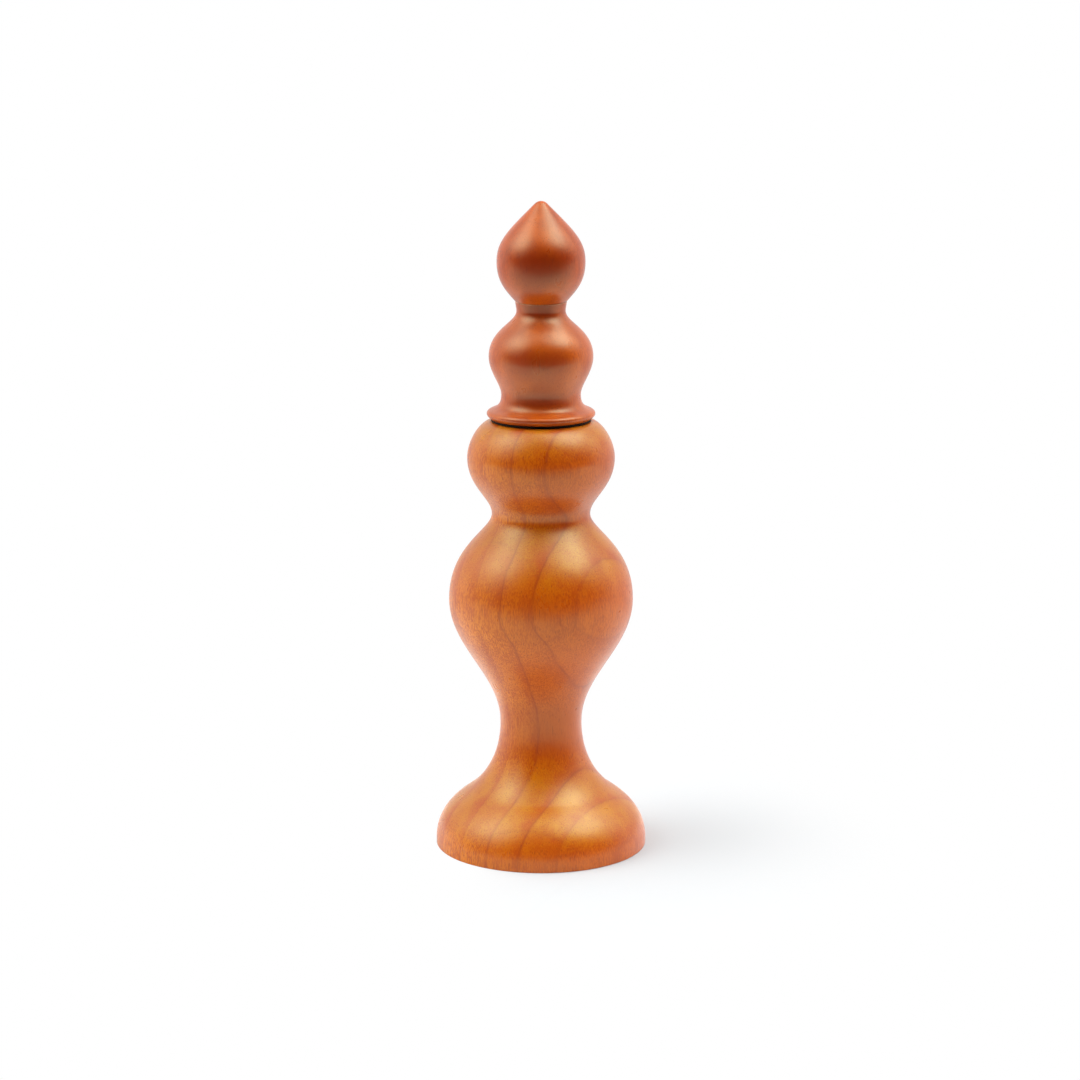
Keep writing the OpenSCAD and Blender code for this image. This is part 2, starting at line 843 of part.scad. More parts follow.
body();
grinder_housing();
housing_screws();
grinding_ring();
bridge();
bridge_bush();
bridge_screws();
spring_washer();
slip_ring();
shaft_bush();
head();
drive_plate();
drive_plate_screws();
thrust_washer();
drive_shaft();
rotor();
rotor_clip();
spring();
finial();
finial_insert();
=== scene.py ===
import math

import bmesh
import bpy
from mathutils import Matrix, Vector


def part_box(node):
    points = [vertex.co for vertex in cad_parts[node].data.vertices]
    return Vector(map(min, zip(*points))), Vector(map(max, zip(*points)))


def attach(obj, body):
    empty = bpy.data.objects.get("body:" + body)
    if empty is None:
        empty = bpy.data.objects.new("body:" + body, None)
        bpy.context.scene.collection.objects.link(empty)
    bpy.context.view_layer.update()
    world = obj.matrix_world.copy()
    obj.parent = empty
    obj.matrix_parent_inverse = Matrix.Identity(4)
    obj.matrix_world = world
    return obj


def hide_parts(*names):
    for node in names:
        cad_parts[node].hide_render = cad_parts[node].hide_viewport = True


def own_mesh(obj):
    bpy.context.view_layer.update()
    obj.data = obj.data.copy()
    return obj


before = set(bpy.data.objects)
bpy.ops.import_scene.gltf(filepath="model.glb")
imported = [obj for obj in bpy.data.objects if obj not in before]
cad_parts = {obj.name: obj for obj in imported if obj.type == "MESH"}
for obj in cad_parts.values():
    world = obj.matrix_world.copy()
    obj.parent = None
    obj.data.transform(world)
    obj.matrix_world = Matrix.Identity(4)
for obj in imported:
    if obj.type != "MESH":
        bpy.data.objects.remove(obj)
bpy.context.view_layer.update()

# The body: one turned length of orange-brown wood with the foot, waist, belly and upper bulb.
# It is glued up from two boards, bored through for the spice, opened above for the head's spigot
# and below for the grinding set, then sanded, stained and given a satin lacquer.
MM = 0.001
TURN_STEPS = 192
CURVE_STEPS = 26
EDGE_STEPS = 4
UPRIGHT = 90

foot_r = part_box("body")[1].x / MM
body_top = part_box("body")[1].z / MM
foot_bevel = 0.2
foot_edge = 2.0
recess_r = 23.0
ledge = 10.0
throat_r = 17.0
throat_top = 28.0
store_r = 11.0
socket_r = 13.5
socket_depth = 16.0
socket_floor = body_top - socket_depth
body_top_r = 20.25
wood_edge = 0.35
fine_edge = 0.12

# Radius, height, direction in degrees, and the ease before and after each knot of the outline
body_knots = [
    (foot_r, foot_edge, UPRIGHT, 0.0, 0.50),
    (27.95, 23.2, 140, 0.19, 0.235),
    (16.35, 50.5, UPRIGHT, 0.47, 0.36),
    (36.75, 101.3, UPRIGHT, 0.35, 0.55),
    (19.55, 136.0, UPRIGHT, 0.19, 0.265),
    (29.25, 158.6, UPRIGHT, 0.465, 0.35),
    (body_top_r, body_top, 165, 0.285, 0.0),
]


def ahead(degrees):
    """One step in an outline's direction, as radius and height."""
    return math.cos(math.radians(degrees)), math.sin(math.radians(degrees))


def flowing(knots):
    """The points of an outline that runs smoothly through its knots."""
    points = [knots[0][:2]]
    for here, there in zip(knots, knots[1:]):
        chord = math.dist(here[:2], there[:2])
        out = ahead(here[2])
        back = ahead(there[2])
        leave = [here[i] + here[4] * chord * out[i] for i in (0, 1)]
        arrive = [there[i] - there[3] * chord * back[i] for i in (0, 1)]
        for step in range(1, CURVE_STEPS + 1):
            t = step / CURVE_STEPS
            s = 1 - t
            points.append(tuple(
                s ** 3 * here[i] + 3 * s * s * t * leave[i] + 3 * s * t * t * arrive[i] + t ** 3 * there[i]
                for i in (0, 1)
            ))
    return points


most_cut = 0.45


def towards(corner, other, cut):
    """The point this far from a corner on the way to its neighbour, at most nearly half of the way."""
    way = math.dist(corner[:2], other[:2])
    share = min(cut / way, most_cut)
    return [corner[i] + share * (other[i] - corner[i]) for i in (0, 1)]


def with_soft_edges(points):
    """The closed outline, in which each corner that names a third value is rounded by about that."""
    soft = []
    for i, point in enumerate(points):
        if len(point) == 2:
            soft.append(point)
            continue
        start = towards(point, points[i - 1], point[2])
        end = towards(point, points[(i + 1) % len(points)], point[2])
        for step in range(EDGE_STEPS + 1):
            t = step / EDGE_STEPS
            soft.append(tuple(
                (1 - t) ** 2 * start[k] + 2 * t * (1 - t) * point[k] + t * t * end[k] for k in (0, 1)
            ))
    return soft


def shown(name, shape, material, body, node):
    """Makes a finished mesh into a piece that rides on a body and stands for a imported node."""
    bmesh.ops.recalc_face_normals(shape, faces=shape.faces)
    for face in shape.faces:
        face.smooth = True
    mesh = bpy.data.meshes.new(name)
    shape.to_mesh(mesh)
    shape.free()
    mesh.materials.append(material)
    piece = bpy.data.objects.new(name, mesh)
    bpy.context.scene.collection.objects.link(piece)
    shading = piece.modifiers.new("even_shading", "WEIGHTED_NORMAL")
    shading.weight = 50
    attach(piece, body)
    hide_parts(node)
    return piece


def turned(outline):
    """A mesh of a closed outline in millimetres, spun round the upright axis."""
    shape = bmesh.new()
    rings = []
    for r, z in outline:
        count = TURN_STEPS if r > 0 else 1
        rings.append([
            shape.verts.new((
                r * MM * math.cos(2 * math.pi * k / count),
                r * MM * math.sin(2 * math.pi * k / count),
                z * MM,
            ))
            for k in range(count)
        ])
    for low, high in zip(rings, rings[1:] + rings[:1]):
        if len(low) + len(high) == 2:
            continue
        for k in range(TURN_STEPS):
            corners = [low[k % len(low)], low[(k + 1) % len(low)]]
            corners += [high[(k + 1) % len(high)], high[k % len(high)]]
            shape.faces.new(list(dict.fromkeys(corners)))
    return shape


def wire(tree, source, target):
    """Feeds an input from another node, or sets it to a plain value."""
    if isinstance(source, bpy.types.NodeSocket):
        tree.links.new(source, target)
    else:
        target.default_value = source


def maths(tree, operation, first, second=0.0, third=0.0):
    """The result of a Math node."""
    node = tree.nodes.new("ShaderNodeMath")
    node.operation = operation
    for target, source in zip(node.inputs, (first, second, third)):
        wire(tree, source, target)
    return node.outputs[0]


def ramp(tree, value, low, high, first=0.0, last=1.0):
    """Goes smoothly from first to last while the value goes from low to high."""
    node = tree.nodes.new("ShaderNodeMapRange")
    node.interpolation_type = "SMOOTHSTEP"
    for i, source in enumerate((value, low, high, first, last)):
        wire(tree, source, node.inputs[i])
    return node.outputs[0]


def vectors(tree, operation, first, second):
    """A Vector Math node of two vectors."""
    node = tree.nodes.new("ShaderNodeVectorMath")
    node.operation = operation
    wire(tree, first, node.inputs[0])
    wire(tree, second, node.inputs[1])
    return node


def along(tree, place, way):
    """How far a place lies in a direction from the axis."""
    return vectors(tree, "DOT_PRODUCT", place, way).outputs["Value"]


def noise(tree, place, size, detail=2.0):
    """Soft random values from 0 to 1, in blots about as wide as the size across and along."""
    scaled = vectors(tree, "DIVIDE", place, size).outputs[0]
    node = tree.nodes.new("ShaderNodeTexNoise")
    wire(tree, scaled, node.inputs["Vector"])
    node.inputs["Scale"].default_value = 1.0
    node.inputs["Detail"].default_value = detail
    return node.outputs[0]


# Share of a spot's reach that is filled evenly
spot_core = 0.45


def flecks(tree, place, cell, reach, share):
    """Spots scattered over cells. Each reaches this part of its cell, and this share of them is filled."""
    scaled = vectors(tree, "DIVIDE", place, cell).outputs[0]
    node = tree.nodes.new("ShaderNodeTexVoronoi")
    wire(tree, scaled, node.inputs["Vector"])
    node.inputs["Scale"].default_value = 1.0
    spot = ramp(tree, node.outputs["Distance"], reach, reach * spot_core)
    chosen = maths(tree, "LESS_THAN", node.outputs["Color"], share)
    return maths(tree, "MULTIPLY", spot, chosen)


def mixed(tree, share, first, second):
    """A colour between two colours."""
    node = tree.nodes.new("ShaderNodeMix")
    node.data_type = "RGBA"
    wire(tree, share, node.inputs[0])
    wire(tree, first, node.inputs[6])
    wire(tree, second, node.inputs[7])
    return node.outputs[2]


def effect(name, inputs, outputs):
    """An empty shader node group with named inputs and outputs."""
    tree = bpy.data.node_groups.new(name, "ShaderNodeTree")
    for label, kind in inputs:
        tree.interface.new_socket(label, in_out="INPUT", socket_type=kind)
    for label in outputs:
        tree.interface.new_socket(label, in_out="OUTPUT", socket_type="NodeSocketFloat")
    return tree, tree.nodes.new("NodeGroupInput").outputs, tree.nodes.new("NodeGroupOutput").inputs


def use(tree, group, values):
    """Places a shader node group in a material with its own values."""
    node = tree.nodes.new("ShaderNodeGroup")
    node.node_tree = group
    for label, source in values.items():
        wire(tree, source, node.inputs[label])
    return node.outputs


def new_finish(name):
    """A material, its nodes, its shader and the place on the piece in millimetres."""
    material = bpy.data.materials.new(name)
    material.use_nodes = True
    tree = material.node_tree
    shader = tree.nodes["Principled BSDF"]
    where = tree.nodes.new("ShaderNodeTexCoord").outputs["Object"]
    place = vectors(tree, "DIVIDE", where, (MM, MM, MM)).outputs[0]
    return material, tree, shader, place


def raise_surface(tree, shader, height, depth):
    """Bumps the surface by a height from 0 to 1, times a depth in millimetres."""
    bump = tree.nodes.new("ShaderNodeBump")
    bump.inputs["Distance"].default_value = depth * MM
    wire(tree, height, bump.inputs["Height"])
    wire(tree, bump.outputs[0], shader.inputs["Normal"])


# Sizes of the marks in the wood, across the grain and along it
ring_wave = (16, 16, 34)
line_change = (7, 7, 12)
clear_patch = (9, 9, 14)
pore_cell = (0.8, 0.8, 10.0)
fine_pore_cell = (0.6, 0.6, 2.6)
stain_blot = (8, 8, 15)
fibre_size = (0.36, 0.36, 1.2)
streak_size = (0.5, 0.5, 7.0)
lacquer_wave = (5, 5, 6)
# Added so that no ring has a number below nought
rings_before = 40.0
halo_width = 1.4

wood_figure, given, made = effect(
    "wood_figure",
    [
        ("Place", "NodeSocketVector"),
        ("Ring Way", "NodeSocketVector"),
        ("Ring Start", "NodeSocketFloat"),
        ("Ring Spacing", "NodeSocketFloat"),
        ("Waviness", "NodeSocketFloat"),
    ],
    ["Ring Line", "Ring Tone", "Pores", "Fine Pores", "Mottle", "Fibre", "Streaks", "Lacquer"],
)
place = given["Place"]
wave = maths(wood_figure, "SUBTRACT", noise(wood_figure, place, ring_wave, 3), 0.5)
strayed = maths(wood_figure, "MULTIPLY", wave, given["Waviness"])
out_from_heart = along(wood_figure, place, given["Ring Way"])
from_line = maths(wood_figure, "SUBTRACT", out_from_heart, given["Ring Start"])
rings = maths(wood_figure, "DIVIDE", maths(wood_figure, "ADD", from_line, strayed), given["Ring Spacing"])
# Share of a ring from 0 to 1, with the line where it turns over
in_ring = maths(wood_figure, "FRACT", maths(wood_figure, "ADD", rings, rings_before))
to_line = maths(wood_figure, "PINGPONG", in_ring, 0.5)
off_line = maths(wood_figure, "MULTIPLY", to_line, given["Ring Spacing"])
line_width = ramp(wood_figure, noise(wood_figure, place, line_change), 0.3, 0.7, 0.5, 0.9)
# The rings show less on the far side of the heart and towards the bark
clear_side = ramp(wood_figure, rings, -0.7, -0.3, 0.2, 1.0)
clear_side = maths(wood_figure, "MULTIPLY", clear_side, ramp(wood_figure, rings, 1.5, 2.2, 1.0, 0.45))
patchy = ramp(wood_figure, noise(wood_figure, place, clear_patch, 2), 0.3, 0.65, 0.45, 1.0)
sharp_line = maths(wood_figure, "MULTIPLY", ramp(wood_figure, off_line, line_width, 0.05), patchy)
halo = ramp(wood_figure, off_line, halo_width, 0.2, 0.0, 0.3)
ring_line = maths(wood_figure, "MULTIPLY", maths(wood_figure, "MAXIMUM", sharp_line, halo), clear_side)
wire(wood_figure, ring_line, made["Ring Line"])
wire(wood_figure, ramp(wood_figure, in_ring, 0.55, 1.0), made["Ring Tone"])
wire(wood_figure, flecks(wood_figure, place, pore_cell, reach=0.28, share=0.6), made["Pores"])
fine_pores = flecks(wood_figure, place, fine_pore_cell, reach=0.30, share=0.45)
wire(wood_figure, fine_pores, made["Fine Pores"])
wire(wood_figure, noise(wood_figure, place, stain_blot, 3), made["Mottle"])
wire(wood_figure, noise(wood_figure, place, fibre_size, 2), made["Fibre"])
wire(wood_figure, noise(wood_figure, place, streak_size, 2), made["Streaks"])
wire(wood_figure, noise(wood_figure, place, lacquer_wave, 1), made["Lacquer"])


ring_waviness = 2.2
# Tint of the painted shade in the hollows
painted_hollow_shade = (0.84, 0.70, 1, 1)
# Colour of the painted highlight line on the head's rim
rim_highlight = (0.62, 0.30, 0.16, 1)
lacquer_gloss = 0.62
lacquer_depth = 0.04


def wood_finish(
    name, tones, gloss_tint, grain, hollow_r, lit_under_share, painted_side_shade, ring_way, ring_start, ring_spacing, ring_depth,
    joint=None, rim_highlight_from=None,
):
    """Stained and lacquered wood with painted light and shade. The tones are slope, girth, deep, growth
    line and pore; the slope tone is the painted lit tone of the slopes.
    """
    slope, girth, deep, line, pore = tones
    material, tree, shader, place = new_finish(name)
    figure = use(tree, wood_figure, {
        "Place": place,
        "Ring Way": ring_way,
        "Ring Start": ring_start(tree, place),
        "Ring Spacing": ring_spacing(tree, place),
        "Waviness": ring_waviness,
    })
    # Painted light: the slopes facing up, and by a share those facing down, take the lighter slope tone
    outward = tree.nodes.new("ShaderNodeTexCoord").outputs["Normal"]
    facing = along(tree, outward, (0, 0, 1))
    painted_lit_above = ramp(tree, facing, 0.1, 0.75)
    painted_lit_below = ramp(tree, facing, -0.1, -0.7, 0.0, lit_under_share)
    painted_lit = maths(tree, "MAXIMUM", painted_lit_above, painted_lit_below)
    # The grain shows less on the slopes painted lighter
    fibre = ramp(tree, figure["Fibre"], 0.25, 0.75, -0.65 * grain, 0.65 * grain)
    fibre = maths(tree, "MULTIPLY", fibre, ramp(tree, painted_lit, 0.0, 1.0, 1.0, 0.5))
    streaks = ramp(tree, figure["Streaks"], 0.3, 0.7, -0.5 * grain, 0.5 * grain)
    streaks = maths(tree, "MULTIPLY", streaks, ramp(tree, painted_lit, 0.0, 0.6, 1.0, 0.1))
    late = maths(tree, "MULTIPLY", figure["Ring Tone"], 0.35 * ring_depth)
    shade = maths(tree, "ADD", ramp(tree, figure["Mottle"], 0.25, 0.75, 0.15, 0.65), late)
    shade = maths(tree, "ADD", maths(tree, "ADD", shade, fibre), streaks)
    # Painted light and shade round the girth: one side is painted paler, the other darker
    side, pale_at, dark_at, pale, dark = painted_side_shade
    side_shaded = mixed(tree, ramp(tree, along(tree, outward, side), pale_at, dark_at), pale, dark)
    girth = vectors(tree, "MULTIPLY", side_shaded, girth[:3]).outputs[0]
    # Painted shade darkens the hollows, which lie nearer the axis
    level_place = vectors(tree, "MULTIPLY", place, (1, 1, 0)).outputs[0]
    from_axis = vectors(tree, "LENGTH", level_place, (0, 0, 0)).outputs["Value"]
    hollow = ramp(tree, from_axis, hollow_r, 0.85 * hollow_r)
    hollow_shaded = mixed(tree, hollow, (1, 1, 1, 1), painted_hollow_shade)
    girth = vectors(tree, "MULTIPLY", hollow_shaded, girth).outputs[0]
    # The painted lit slope tone goes where the slopes face up or down, the girth tone elsewhere
    colour = mixed(tree, shade, mixed(tree, painted_lit, girth, slope), deep)
    # Past a glued joint lies a second board, and the joint itself shows as a faint seam
    if joint:
        past, board = joint
        strayed = maths(tree, "MULTIPLY_ADD", figure["Lacquer"], 0.8, past(tree, place))
        colour = mixed(tree, ramp(tree, strayed, 0.0, 1.5, 0.0, 0.3), colour, board)
        seam = ramp(tree, maths(tree, "ABSOLUTE", strayed), 0.8, 0.1, 0.0, 0.3)
        colour = mixed(tree, maths(tree, "MULTIPLY", seam, figure["Mottle"]), colour, line)
    # Above this height a painted highlight makes the rim a pale line
    if rim_highlight_from:
        worn = ramp(tree, along(tree, place, (0, 0, 1)), rim_highlight_from, rim_highlight_from + 0.1)
        colour = mixed(tree, worn, colour, rim_highlight)
    lined = maths(tree, "MULTIPLY", figure["Ring Line"], 0.7 * ring_depth)
    colour = mixed(tree, lined, colour, line)
    spots = maths(tree, "MULTIPLY", figure["Fine Pores"], 0.45)
    spots = maths(tree, "MAXIMUM", maths(tree, "MULTIPLY", figure["Pores"], 0.75), spots)
    spots = maths(tree, "MULTIPLY", spots, 0.5 + 0.5 * grain)
    wire(tree, mixed(tree, spots, colour, pore), shader.inputs["Base Color"])
    dull = maths(tree, "MULTIPLY_ADD", spots, 0.2, ramp(tree, figure["Mottle"], 0.2, 0.8, 0.27, 0.32))
    wire(tree, dull, shader.inputs["Roughness"])
    height = maths(tree, "MULTIPLY_ADD", figure["Fibre"], 0.25, figure["Lacquer"])
    height = maths(tree, "MULTIPLY_ADD", spots, -0.6, height)
    raise_surface(tree, shader, height, lacquer_depth)
    shader.inputs["Specular IOR Level"].default_value = lacquer_gloss
    shader.inputs["Specular Tint"].default_value = gloss_tint
    return material


def body_ring_start(tree, place):
    """Where the first growth ring lies: it swings out above the foot and back above the belly."""
    height = along(tree, place, (0, 0, 1))
    low = ramp(tree, height, 5, 40, 2.6, 8.2)
    middle = ramp(tree, height, 40, 86, 0.0, 1.6)
    high = ramp(tree, height, 88, 100, 0.0, -4.3)
    return maths(tree, "ADD", maths(tree, "ADD", low, middle), high)


def body_ring_spacing(tree, place):
    """The rings stand a little further apart in the foot."""
    return ramp(tree, along(tree, place, (0, 0, 1)), 10, 30, 13.1, 12.4)


def past_joint(tree, place):
    """How far a place lies past the glued joint, which leaves the wood again below the belly."""
    height = along(tree, place, (0, 0, 1))
    upper = along(tree, place, (-0.682, -0.731, 0))
    lower = along(tree, place, (-0.174, -0.985, 0))
    turning = ramp(tree, height, 112, 92)
    way = maths(tree, "MULTIPLY_ADD", turning, maths(tree, "SUBTRACT", lower, upper), upper)
    return maths(tree, "SUBTRACT", way, ramp(tree, height, 80, 116, 37.5, 25.0))


# The first tone of each wood is the painted lit tone of its slopes
body_tones = (
    (0.475, 0.166, 0.0020, 1),
    (0.545, 0.114, 0.0014, 1),
    (0.375, 0.047, 0.0006, 1),
    (0.270, 0.024, 0.0040, 1),
    (0.240, 0.022, 0.0008, 1),
)
second_board = (0.430, 0.074, 0.0030, 1)
body_gloss_tint = (0.82, 0.96, 0.56, 1)
# Painted side shading: the way of the side painted darker, the limits of the change, and the tints before
# and past it
body_painted_side_shade = ((1, 0, 0), -0.9, 0.2, (1.10, 1.38, 1.5, 1), (0.90, 0.745, 1, 1))
body_ring_way = (0.823, -0.568, 0)
body_wood = wood_finish(
    "body_wood", body_tones, body_gloss_tint, grain=1.0, hollow_r=19.5, lit_under_share=0.0, painted_side_shade=body_painted_side_shade,
    ring_way=body_ring_way, ring_start=body_ring_start, ring_spacing=body_ring_spacing, ring_depth=1.0,
    joint=(past_joint, second_board),
)

body_outline = with_soft_edges(
    [(foot_r - foot_bevel, 0.0, fine_edge), (foot_r, foot_bevel, fine_edge)]
    + flowing(body_knots)[:-1]
    + [
        (body_top_r, body_top, wood_edge),
        (socket_r, body_top, wood_edge),
        (socket_r, socket_floor, wood_edge),
        (store_r, socket_floor, wood_edge),
        (store_r, throat_top, wood_edge),
        (throat_r, throat_top, wood_edge),
        (throat_r, ledge, wood_edge),
        (recess_r, ledge, wood_edge),
        (recess_r, 0.0, wood_edge),
    ]
)
shown("body_turning", turned(body_outline), body_wood, "base", "body")

# The grinder housing: a flange, a tube and a spider of three arms, moulded in one from black nylon.
# It sits in the throat under the body and its flange lies against the recess's roof.

# Sizes of the marks in metal and nylon along X, Y and Z. A turned line goes by its radius instead of X.
drawn_line = (0.12, 0.12, 9.0)
turned_line = (0.10, 1.0, 0.10)
grain_size = (0.14, 0.14, 0.14)
smudge_size = (3.5, 3.5, 4.5)
scratch_size = (5.0, 0.07, 0.4)
cross_scratch_size = (0.08, 4.0, 0.5)
speck_cell = (1.1, 1.1, 1.1)

tool_marks, given, made = effect(
    "tool_marks",
    [("Place", "NodeSocketVector")],
    ["Drawn", "Turned", "Grain", "Smudge", "Scratches", "Specks"],
)
place = given["Place"]
flat_place = vectors(tool_marks, "MULTIPLY", place, (1, 1, 0)).outputs[0]
radius = vectors(tool_marks, "LENGTH", flat_place, (0, 0, 0)).outputs["Value"]
by_radius = tool_marks.nodes.new("ShaderNodeCombineXYZ")
wire(tool_marks, radius, by_radius.inputs[0])
wire(tool_marks, along(tool_marks, place, (0, 0, 1)), by_radius.inputs[2])
wire(tool_marks, noise(tool_marks, place, drawn_line, 3), made["Drawn"])
wire(tool_marks, noise(tool_marks, by_radius.outputs[0], turned_line, 2), made["Turned"])
wire(tool_marks, noise(tool_marks, place, grain_size, 2), made["Grain"])
wire(tool_marks, noise(tool_marks, place, smudge_size, 3), made["Smudge"])
scratched = noise(tool_marks, place, scratch_size, 2)
crossed = noise(tool_marks, place, cross_scratch_size, 2)
either = maths(tool_marks, "MAXIMUM", scratched, crossed)
wire(tool_marks, ramp(tool_marks, either, 0.68, 0.80), made["Scratches"])
wire(tool_marks, flecks(tool_marks, place, speck_cell, reach=0.16, share=0.3), made["Specks"])


def marked_finish(name, colour, worn, lie, metallic, least_rough, most_rough, depth):
    """A metal or nylon finish. The lie is the tool mark that shows most."""
    material, tree, shader, place = new_finish(name)
    marks = use(tree, tool_marks, {"Place": place})
    lines = ramp(tree, marks[lie], 0.3, 0.7)
    patches = ramp(tree, marks["Smudge"], 0.35, 0.7)
    wear = maths(tree, "MAXIMUM", maths(tree, "MULTIPLY", marks["Scratches"], 0.6), marks["Specks"])
    share = maths(tree, "MULTIPLY_ADD", patches, 0.35, maths(tree, "MULTIPLY", lines, 0.25))
    share = maths(tree, "MAXIMUM", share, maths(tree, "MULTIPLY", wear, 0.8))
    wire(tree, mixed(tree, share, colour, worn), shader.inputs["Base Color"])
    shader.inputs["Metallic"].default_value = metallic
    dull = maths(tree, "MULTIPLY_ADD", lines, 0.3, maths(tree, "MULTIPLY", patches, 0.7))
    wire(tree, ramp(tree, dull, 0.0, 1.0, least_rough, most_rough), shader.inputs["Roughness"])
    raise_surface(tree, shader, maths(tree, "MULTIPLY_ADD", wear, 0.5, lines), depth)
    return material


# Corners this close are one, faces this flat to each other are one, and edges this sharp are broken
same_place = 0.001
flat_within = 0.5
sharp_from = 28


def keep(node, material, edge):
    """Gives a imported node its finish, and breaks its sharp edges by this many millimetres."""
    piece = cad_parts[node]
    for face in piece.data.polygons:
        face.use_smooth = True
    if not piece.material_slots:
        piece.data.materials.append(material)
    for place_for_finish in piece.material_slots:
        place_for_finish.link = "OBJECT"
        place_for_finish.material = material
    piece.modifiers.new("joined_faces", "WELD").merge_threshold = same_place * MM
    flats = piece.modifiers.new("whole_flats", "DECIMATE")
    flats.decimate_type = "DISSOLVE"
    flats.angle_limit = math.radians(flat_within)
    edges = piece.modifiers.new("broken_edges", "BEVEL")
    edges.width = edge * MM
    edges.segments = 2
    edges.limit_method = "ANGLE"
    edges.angle_limit = math.radians(sharp_from)
    edges.use_clamp_overlap = False
    piece.modifiers.new("even_shading", "WEIGHTED_NORMAL").weight = 50


black_nylon = marked_finish(
    "black_nylon", (0.014, 0.009, 0.006, 1), (0.036, 0.025, 0.018, 1), "Grain",
    metallic=0.0, least_rough=0.50, most_rough=0.70, depth=0.012,
)
matt_gloss = 0.04
black_nylon.node_tree.nodes["Principled BSDF"].inputs["Specular IOR Level"].default_value = matt_gloss
keep("grinder_housing", black_nylon, 0.12)

# The housing's two screws: zinc-plated steel wood screws with cross heads, through the flange
# into the wood, a quarter turn from the bridge.
bright_steel = marked_finish(
    "bright_steel", (0.60, 0.61, 0.62, 1), (0.40, 0.40, 0.39, 1), "Grain",
    metallic=1.0, least_rough=0.22, most_rough=0.42, depth=0.006,
)
keep("housing_screws", bright_steel, 0.10)

# The grinding ring: the fixed half of the grinding set, of hardened steel with cut teeth.
# Two keys on its outside stand in slots of the housing.
dark_steel = marked_finish(
    "dark_steel", (0.17, 0.17, 0.18, 1), (0.30, 0.29, 0.28, 1), "Grain",
    metallic=1.0, least_rough=0.34, most_rough=0.55, depth=0.012,
)
keep("grinding_ring", dark_steel, 0.05)

# The bridge: a flat steel bar across the ring, stamped and plated. It holds the ring up and
# carries the shaft's lower bush.
keep("bridge", bright_steel, 0.15)

# The bridge's bush: a turned brass sleeve with a flange, in which the shaft's journal turns.
# It is pressed into the bridge from below.
brass = marked_finish(
    "brass", (0.76, 0.53, 0.21, 1), (0.46, 0.28, 0.10, 1), "Turned",
    metallic=1.0, least_rough=0.20, most_rough=0.38, depth=0.006,
)
keep("bridge_bush", brass, 0.10)

# The bridge's two screws: zinc-plated steel wood screws like the housing's, through the bridge
# and the flange into the wood.
keep("bridge_screws", bright_steel, 0.10)

# The spring's washer: a plain stamped steel washer, plated. It lies between the spring and the
# housing's hub, and the spring's push holds it there.
keep("spring_washer", bright_steel, 0.08)

# The slip ring: a thin black nylon ring on the body's top edge, on which the head turns.
# From outside it is the dark line between body and head.
keep("slip_ring", black_nylon, 0.15)

# The shaft's bush: a turned bush of pale nylon with a square hole and a flange above. It stands
# in the housing's hub, turns there with the shaft and lets it slide up and down.
pale_nylon = marked_finish(
    "pale_nylon", (0.70, 0.67, 0.58, 1), (0.55, 0.50, 0.40, 1), "Turned",
    metallic=0.0, least_rough=0.38, most_rough=0.52, depth=0.008,
)
keep("shaft_bush", pale_nylon, 0.12)

# The head: the turned upper part with its collar, cove and bulb, and a spigot under it that fills
# the body's socket. Its stain is darker and redder than the body's.
spigot_length = 14.0
spigot_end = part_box("head")[0].z / MM
seat = spigot_end + spigot_length
head_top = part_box("head")[1].z / MM
spigot_r = 13.1
spigot_bevel = 0.8
shaft_way_r = 4.3
washer_pocket_r = 7.05
washer_pocket_depth = 0.5
washer_pocket = head_top - washer_pocket_depth
collar_foot_r = 20.1
head_top_r = 10.15
finial_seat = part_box("finial")[0].z / MM
# The rim reaches up round the thrust washer, to a hair under the finial
rim_gap = 0.03
head_rim = finial_seat - rim_gap
rim_round = 0.25

head_knots = [
    (collar_foot_r, seat, 52, 0.0, 0.35),
    (21.45, seat + 1.8, UPRIGHT, 0.40, 0.30),
    (16.6, seat + 5.6, 123, 0.44, 0.275),
    (15.725, seat + 9.5, UPRIGHT, 0.48, 0.245),
    (20.6, seat + 24.4, UPRIGHT, 0.37, 0.505),
    (9.675, seat + 42.6, UPRIGHT, 0.235, 0.165),
    (head_top_r, head_rim - rim_round, 80, 0.30, 0.0),
]


def steady(value):
    """A ring start or spacing that is the same all over."""
    return lambda tree, place: value


head_tones = (
    (0.530, 0.104, 0.0034, 1),
    (0.410, 0.066, 0.0030, 1),
    (0.300, 0.027, 0.0020, 1),
    (0.210, 0.018, 0.0012, 1),
    (0.180, 0.015, 0.0010, 1),
)
# Painted shade on the side facing the front, painted light elsewhere round the girth
head_painted_side_shade = ((-0.1, -0.995, 0), 0.6, 0.98, (1.32, 1.47, 1, 1), (0.71, 0.59, 1, 1))
head_gloss_tint = (0.83, 0.92, 0.60, 1)
head_wood = wood_finish(
    "head_wood", head_tones, head_gloss_tint, grain=0.35, hollow_r=17.0, lit_under_share=0.9, painted_side_shade=head_painted_side_shade,
    ring_way=(0.30, -0.954, 0), ring_start=steady(3.0), ring_spacing=steady(7.5), ring_depth=0.2,
    # The rim above this height is painted pale as a highlight
    rim_highlight_from=head_rim - rim_round,
)

head_outline = with_soft_edges(
    [(collar_foot_r, seat, 0.2)]
    + flowing(head_knots)[1:]
    + [
        (head_top_r, head_rim, rim_round),
        (washer_pocket_r, head_rim, 0.2),
        (washer_pocket_r, washer_pocket, 0.1),
        (shaft_way_r, washer_pocket, 0.2),
        (shaft_way_r, spigot_end, wood_edge),
        (spigot_r - spigot_bevel, spigot_end, 0.2),
        (spigot_r, spigot_end + spigot_bevel, 0.2),
        (spigot_r, seat, 0.2),
    ]
)
shown("head_turning", turned(head_outline), head_wood, "head_unit", "head")

